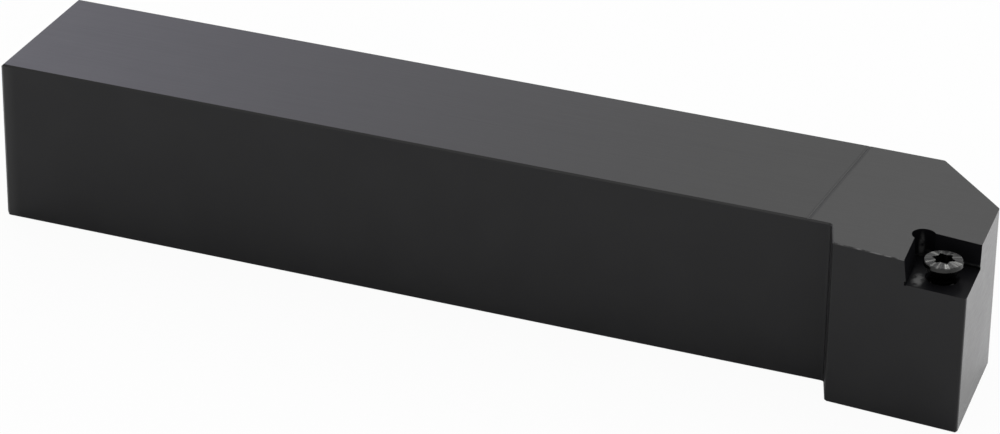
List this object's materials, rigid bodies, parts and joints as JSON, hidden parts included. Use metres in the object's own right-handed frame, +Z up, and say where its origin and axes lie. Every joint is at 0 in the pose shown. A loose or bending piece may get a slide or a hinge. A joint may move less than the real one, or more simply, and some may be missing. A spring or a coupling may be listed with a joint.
{
  "type": "turning tool holder",
  "caption": "Left-hand external turning tool holder: square blackened shank, head offset to one side, empty drafted seat for a rhombic insert and a countersunk clamp screw in it.",
  "frame": {"origin": "middle of the shank's underside", "axes": "+X along the shank to the cutting end, +Z up through the shank to the insert's side, the head stands out to -Y"},
  "size_m": [0.1495, 0.0315, 0.025],
  "materials": {
    "blackened_steel": "satin black oxide on ground and milled steel",
    "bright_screw_steel": "turned and burnished steel"
  },
  "bodies": {
    "holder": {"holder_body": "blackened_steel"},
    "screw": {"clamp_screw": "bright_screw_steel"}
  },
  "joints": [
    {"name": "clamp_screw_turn", "type": "hinge", "parent": "holder", "child": "screw", "pos_m": [0.08209, -0.01426, 0.02103], "axis": [0, 0, 1], "range_deg": [-768, 3497]}
  ]
}
